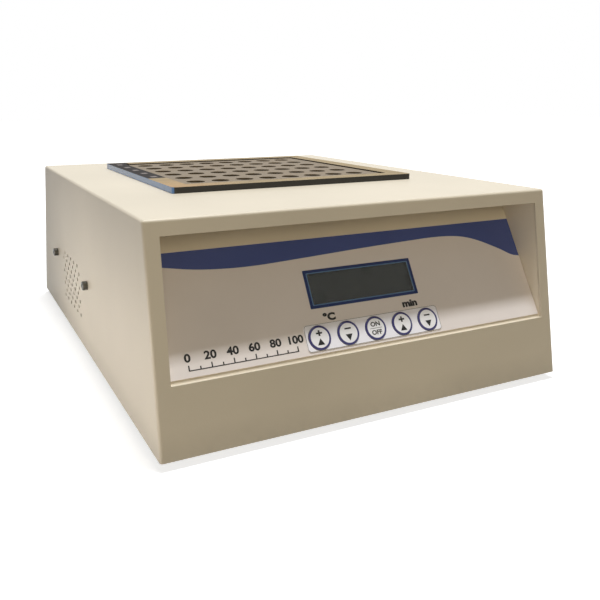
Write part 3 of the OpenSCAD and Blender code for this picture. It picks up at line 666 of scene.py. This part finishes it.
lower = smooth_curve(BAND_EDGE, BAND_STEPS)
upper = np.column_stack((lower[:, 0], np.full(len(lower), BAND_TOP)))
band = np.stack((lower, upper))
grid_piece("blue_band", on_panel(band[..., 0], band[..., 1], PRINT_HEIGHT), blue_ink, "case")
print("band from", round(lower[:, 1].min(), 1), "to", BAND_TOP, "mm up the panel")

# %% [markdown]
# The display has a printed blue border and, inside it, a lighter ring of painted glare along
# the edge of the window.
# The strip of keys has a thin drawn line around it. All three are rings between two rounded
# rectangles, and one formula draws such a rectangle: the corner centre plus a circle.

# %% Rings on the panel
DISPLAY_CENTRE = (-1.2, 42.0)
BORDER_OUTER, BORDER_INNER = (83.6, 25.4, 0.6), (79.4, 21.6, 0.6)
# Inner outline and lift of the ring of painted glare on the window's edge.
GLARE_INNER, GLARE_LIFT = (78.0, 20.3, 0.5), 0.02
KEYPAD_CENTRE = (0.0, 11.1)
KEYPAD_OUTER, KEYPAD_INNER = (103.0, 16.8, 2.4), (102.3, 16.1, 2.1)
KEYPAD_PRINT_HEIGHT = 0.95


def rounded_outline(width, height, radius, count=96):
    """Outline of a rounded rectangle: for each angle, the centre of that quarter's corner circle
    plus the radius times (cos, sin)."""
    angle = (np.arange(count) + 0.5) / count * 2 * math.pi
    c, s = np.cos(angle), np.sin(angle)
    return np.column_stack(((width / 2 - radius) * np.sign(c) + radius * c,
                            (height / 2 - radius) * np.sign(s) + radius * s))


def panel_ring(name, centre, outer, inner, height, coat):
    """A flat ring between two rounded rectangles, each (width, height, corner radius)."""
    rings = np.stack((rounded_outline(*outer), rounded_outline(*inner))) + np.array(centre)
    points = on_panel(rings[..., 0], rings[..., 1], height)
    grid_piece(name, points, coat, "case", closed=True)


# A light blue ring of painted glare along the window's edge.
window_edge_glare = grained("window_edge_glare", (0.16, 0.27, 0.46, 1), 0.22, size=900.0, depth=FILM_DEPTH,
                     contrast=0.1)
panel_ring("display_border", DISPLAY_CENTRE, BORDER_OUTER, BORDER_INNER, PRINT_HEIGHT, border_ink)
panel_ring("display_edge_glare", DISPLAY_CENTRE, BORDER_INNER, GLARE_INNER, PRINT_HEIGHT + GLARE_LIFT,
           window_edge_glare)
panel_ring("keypad_line", KEYPAD_CENTRE, KEYPAD_OUTER, KEYPAD_INNER, KEYPAD_PRINT_HEIGHT, line_ink)
print("rings drawn round the display and the keys")

# %% [markdown]
# Each key is a pale disc with a blue ring round its rim. The ring follows the disc, so it is
# part of the key's material: the distance from the key's axis decides where the ink lies. The
# distance from an axis is the length of the cross product of the offset and the axis.

# %% The keys
KEY_PITCH = 20.9
KEY_UP = 10.8
INK_EDGE = 0.00008

ring_group, given, out = new_group("key_ring", [
    ("Centre", "Vector", (0.0, 0.0, 0.0)), ("Axis", "Vector", (0.0, 0.0, 1.0)),
    ("Inner radius", "Float", 0.0064), ("Ground", "Color", (0.8, 0.8, 0.8, 1)),
    ("Ink", "Color", (0.02, 0.02, 0.1, 1))], [("Colour", "Color")])
place = add(ring_group, "ShaderNodeTexCoord").outputs["Object"]
offset = add(ring_group, "ShaderNodeVectorMath", {"operation": "SUBTRACT"}, _0=place,
             _1=given["Centre"]).outputs[0]
crossed = add(ring_group, "ShaderNodeVectorMath", {"operation": "CROSS_PRODUCT"}, _0=offset,
              _1=given["Axis"]).outputs[0]
radius = add(ring_group, "ShaderNodeVectorMath", {"operation": "LENGTH"},
             _0=crossed).outputs["Value"]
past = maths(ring_group, "SUBTRACT", radius, given["Inner radius"])
inked = mapped(ring_group, past, -INK_EDGE, INK_EDGE)
connect(ring_group, out, Colour=blend(ring_group, inked, given["Ground"], given["Ink"]))


def key_film(name, centre):
    """Key film with the ring for the key at that centre."""
    made, tree, shader = material(name, Coat_Weight=0.25, Coat_Roughness=0.2)
    ring = use(tree, ring_group, Centre=tuple(centre), Axis=tuple(OUT_OF_PANEL),
               Ground=(0.88, 0.87, 0.90, 1), Ink=(0.045, 0.042, 0.165, 1))
    cover(tree, shader, use(tree, grain_group, Colour=ring["Colour"], Grain_size=FILM_GRAIN,
                            Depth=FILM_DEPTH, Contrast=0.05, Roughness=0.34))
    return made


KEYS = ["temp_up", "temp_down", "start", "time_up", "time_down"]
key_x = {name: (k - 2) * KEY_PITCH for k, name in enumerate(KEYS)}
key_coats = {name: key_film(name + "_film", on_panel(key_x[name], KEY_UP, 0.0)) for name in KEYS}
print("key centres at", [round(x, 1) for x in key_x.values()], "mm")

# %% [markdown]
# The marks are type and arrows. Type starts as a text curve and becomes a mesh; its flat
# vertices then go through the same panel function as everything else, so no object has to be
# turned or scaled. The marks are plain: arrows, plus and minus, units and a number scale.

# %% Helpers for marks
def flat_text(words, size, weight):
    """Vertices in millimetres and faces of a line of type, centred on its own box. Weight
    moves the outline outwards by that share of the size, which makes the type bolder."""
    curve = bpy.data.curves.new("type", "FONT")
    curve.body = words
    curve.size = size
    curve.offset = weight * size
    curve.resolution_u = 4
    holder = bpy.data.objects.new("type", curve)
    bpy.context.scene.collection.objects.link(holder)
    bpy.context.view_layer.update()
    graph = bpy.context.evaluated_depsgraph_get()
    made = bpy.data.meshes.new_from_object(holder.evaluated_get(graph))
    points = np.zeros(len(made.vertices) * 3)
    made.vertices.foreach_get("co", points)
    points = points.reshape(-1, 3)[:, :2]
    faces = [tuple(face.vertices) for face in made.polygons]
    bpy.data.objects.remove(holder)
    bpy.data.curves.remove(curve)
    bpy.data.meshes.remove(made)
    return points - (points.min(0) + points.max(0)) / 2, faces


def panel_text(name, words, size, centre, height, body, widen, weight):
    """Type on the panel, its centre at (x, s) in millimetres. Widen stretches it sideways."""
    points, faces = flat_text(words, size, weight)
    place = on_panel(points[:, 0] * widen + centre[0], points[:, 1] + centre[1], height)
    mesh_piece(name, place, faces, black_ink, body)


def panel_patch(name, corners, height, body):
    """A flat patch with these corners, in millimetres, anticlockwise as the user sees them."""
    x, s = np.array(corners, float).T
    mesh_piece(name, on_panel(x, s, height), [range(len(x))], black_ink, body)


print("type and patches ready")

# %% [markdown]
# Each mark on a key rides on that key's body, so it moves in when the key is pressed. The two
# units stand on the overlay, above the pairs of keys that set them.

# %% Marks of the keys
KEY_TOP = 1.45
ARROW = np.array(((-2.5, -1.9), (2.5, -1.9), (0.0, 2.3)))
ARROW_DOWN = (ARROW * (1, -1))[::-1]
ARROW_SINK, SIGN_RISE, WORD_RISE = 2.7, 2.9, 2.7
SIGN_SIZE, WORD_SIZE, UNIT_SIZE = 6.6, 4.0, 6.2
RULE_HALF, RULE_THIN = 4.6, 0.12

for name, sign, arrow in (("temp_up", "+", ARROW), ("temp_down", "–", ARROW_DOWN),
                          ("time_up", "+", ARROW), ("time_down", "–", ARROW_DOWN)):
    body = name + "_key"
    panel_patch(name + "_arrow", arrow + (key_x[name], KEY_UP - ARROW_SINK), KEY_TOP, body)
    panel_text(name + "_sign", sign, SIGN_SIZE, (key_x[name], KEY_UP + SIGN_RISE), KEY_TOP, body,
               widen=1.2, weight=0.04)
panel_text("start_word_on", "ON", WORD_SIZE, (0.0, KEY_UP + WORD_RISE), KEY_TOP, "start_key",
           widen=1.15, weight=0.034)
panel_text("start_word_off", "OFF", WORD_SIZE, (0.0, KEY_UP - WORD_RISE), KEY_TOP, "start_key",
           widen=1.1, weight=0.034)
panel_patch("start_rule", ((-RULE_HALF, KEY_UP - RULE_THIN), (RULE_HALF, KEY_UP - RULE_THIN),
                           (RULE_HALF, KEY_UP + RULE_THIN), (-RULE_HALF, KEY_UP + RULE_THIN)),
            KEY_TOP, "start_key")
panel_text("unit_degrees", "°C", UNIT_SIZE, (-31.4, 23.2), PRINT_HEIGHT, "case",
           widen=1.3, weight=0.058)
panel_text("unit_minutes", "min", UNIT_SIZE, (31.4, 23.6), PRINT_HEIGHT, "case",
           widen=1.3, weight=0.058)
print("marks on", len(KEYS), "keys")

# %% [markdown]
# The lower left corner of the panel carries a plain scale from 0 to 100: a rule with ticks and
# a number over every second one. The ticks are one mesh, worked out as an array of rectangles.

# %% The number scale
SCALE_LEFT, SCALE_RIGHT, SCALE_LOW = -128.0, -58.0, 4.6
STEPS = 10
TICK_WIDTH, LONG_TICK, SHORT_TICK = 0.8, 3.4, 2.2
RULE_WIDTH, RULE_OVERHANG = 0.6, 0.6
NUMBER_RISE, NUMBER_SIZE = 7.7, 6.6


def bars(centres, widths, lows, highs):
    """Upright rectangles: four corners each, from their centres, widths, lower and upper ends."""
    left, right = centres - widths / 2, centres + widths / 2
    x = np.stack((left, right, right, left), axis=-1)
    s = np.stack((lows, lows, highs, highs), axis=-1)
    return x.reshape(-1), s.reshape(-1), np.arange(x.size).reshape(-1, 4)


tick = np.arange(STEPS + 1)
tick_x = SCALE_LEFT + tick * (SCALE_RIGHT - SCALE_LEFT) / STEPS
tick_high = SCALE_LOW + np.where(tick % 2 == 0, LONG_TICK, SHORT_TICK)
centres = np.append(tick_x, (SCALE_LEFT + SCALE_RIGHT) / 2)
widths = np.append(np.full(len(tick), TICK_WIDTH), SCALE_RIGHT - SCALE_LEFT + RULE_OVERHANG)
highs = np.append(tick_high, SCALE_LOW + RULE_WIDTH)
x, s, faces = bars(centres, widths, np.full(len(highs), SCALE_LOW), highs)
mesh_piece("scale_ticks", on_panel(x, s, PRINT_HEIGHT), faces, black_ink, "case")
for k in range(0, STEPS + 1, 2):
    number = str(k * 100 // STEPS)
    panel_text("scale_number_" + number, number, NUMBER_SIZE,
               (tick_x[k], SCALE_LOW + NUMBER_RISE), PRINT_HEIGHT, "case",
               widen=1.15, weight=0.036)
print("scale with", len(tick), "ticks")

# %% [markdown]
# The window of the display is clear plastic over the dark glass of a liquid crystal that is
# switched off. Glass needs plain values for metal and transmission; only its tiny scratches
# vary, in the roughness.

# %% The display
window_clear, tree, shader = material("window_clear", Metallic=0.0, Transmission_Weight=1.0,
                                      IOR=1.38, Base_Color=(0.86, 0.87, 0.84, 1))
place = add(tree, "ShaderNodeTexCoord").outputs["Object"]
scratches = noise(tree, place, scale=180.0, detail=6.0, roughness=0.7)
connect(tree, shader.inputs, Roughness=between(tree, scratches, 0.02, 0.10))
screen_glass = grained("screen_glass", (0.014, 0.0135, 0.009, 1), 0.30, size=120.0,
                       depth=0.000002, contrast=0.35, Specular_IOR_Level=0.2)
print("display:", window_clear.name, "over", screen_glass.name)

# %% [markdown]
# ## Marks on the back
# The rocker switch has a bar for on and a ring for off. The back slopes forward, so it gets a
# place function of its own, and the rocker is tipped about its pivot, so its two faces have
# their own slopes as well.

# %% Marks of the rocker
REAR_LEAN = math.radians(18)
SWITCH_ACROSS, SWITCH_UP = 48.0, 42.0
PIVOT_DEPTH = -4.5
ROCKER_TILT = math.radians(9)
FACE_MIDDLE, FACE_RISE, ROCKER_HALF = 5.6, 1.4, 7
MARK_LIFT = 0.03
BAR_ENDS, BAR_HALF = (-4.3, -3.3), 2.0
RING_X, RING_OUTER, RING_INNER, RING_COUNT = 3.8, 1.9, 1.35, 32


def on_rocker(x, v):
    """Turns millimetres on the rocker's faces into metres in space. The height h of a face above
    the pivot grows from its middle to its ends. x and h are tipped by the rocker's tilt about
    its pivot; the result is laid on the sloping back, where x runs to the left, v up the slope
    and h outwards."""
    x, v = np.broadcast_arrays(x, v)
    h = FACE_MIDDLE + np.abs(x) / ROCKER_HALF * FACE_RISE + MARK_LIFT
    tipped_x = x * math.cos(ROCKER_TILT) + h * math.sin(ROCKER_TILT)
    tipped_h = h * math.cos(ROCKER_TILT) - x * math.sin(ROCKER_TILT) + PIVOT_DEPTH
    up_back = v + SWITCH_UP
    y = CASE_DEPTH / 2 - up_back * math.sin(REAR_LEAN) + tipped_h * math.cos(REAR_LEAN)
    z = FOOT_HEIGHT + up_back * math.cos(REAR_LEAN) + tipped_h * math.sin(REAR_LEAN)
    return np.stack((SWITCH_ACROSS - tipped_x, y, z), axis=-1) / 1000


mark_ink = film("mark_ink", (0.80, 0.80, 0.78, 1), 0.5, 0.08)
bar_x, bar_v = np.meshgrid(BAR_ENDS, (-BAR_HALF, BAR_HALF))
grid_piece("rocker_bar", on_rocker(bar_x, bar_v), mark_ink, "rocker")
angle = np.arange(RING_COUNT) / RING_COUNT * 2 * math.pi
radii = np.array((RING_OUTER, RING_INNER))[:, None]
ring = on_rocker(RING_X + radii * np.cos(angle), radii * np.sin(angle))
grid_piece("rocker_ring", ring, mark_ink, "rocker", closed=True)
print("rocker marked with a bar and a ring of", RING_COUNT, "quads")

# %% [markdown]
# ## Dressing the solids
# Every solid gets the finish of the real piece. The table says which.

# %% Dress every solid
FINISH = {
    case_coat: ["cover_shell", "base_tray", "rear_panel"],
    recess_coat: ["panel_carrier"],
    overlay_sheet: ["control_overlay"],
    keypad_sheet: ["keypad_film"],
    window_clear: ["display_window"],
    screen_glass: ["lcd_glass"],
    solder_resist: ["lcd_board", "key_board", "control_board"],
    board_plastic: ["board_parts"],
    iron_varnish: ["mains_transformer"],
    sheet_coat: ["block_frame"],
    block_metal: ["tube_block"],
    plate_metal: ["heater_plate"],
    silicone: ["heating_mat"],
    mineral_wool: ["insulation"],
    zinc_plate: ["panel_studs", "board_standoffs", "frame_studs", "temperature_probe",
                 "housing_posts", "fan_screws", "bracket_spacers", "rear_screws", "inlet_screws",
                 "foot_screws", "base_screws"],
    zinc_sheet: ["heater_housing", "fan_bracket", "cover_brackets"],
    black_plastic: ["lcd_bezel", "key_switches", "solid_state_relay", "thermal_cutout",
                    "fan_frame", "power_inlet", "fuse_holder", "fuse_cap", "power_switch"],
    fan_plastic: ["fan_rotor"],
    black_steel: ["cover_screws"],
    pin_metal: ["inlet_pins"],
    rocker_plastic: ["switch_rocker"],
    foot_rubber: ["feet"],
}
dressed = {node: coat for coat, nodes in FINISH.items() for node in nodes}
dressed.update({name + "_key": coat for name, coat in key_coats.items()})
for node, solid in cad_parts.items():
    coat = dressed[node]
    if solid.material_slots:
        for held in solid.material_slots:
            held.material = coat
    else:
        solid.data.materials.append(coat)
print("dressed", len(dressed), "solids")

# %% [markdown]
# ## The end


print("scene ready")
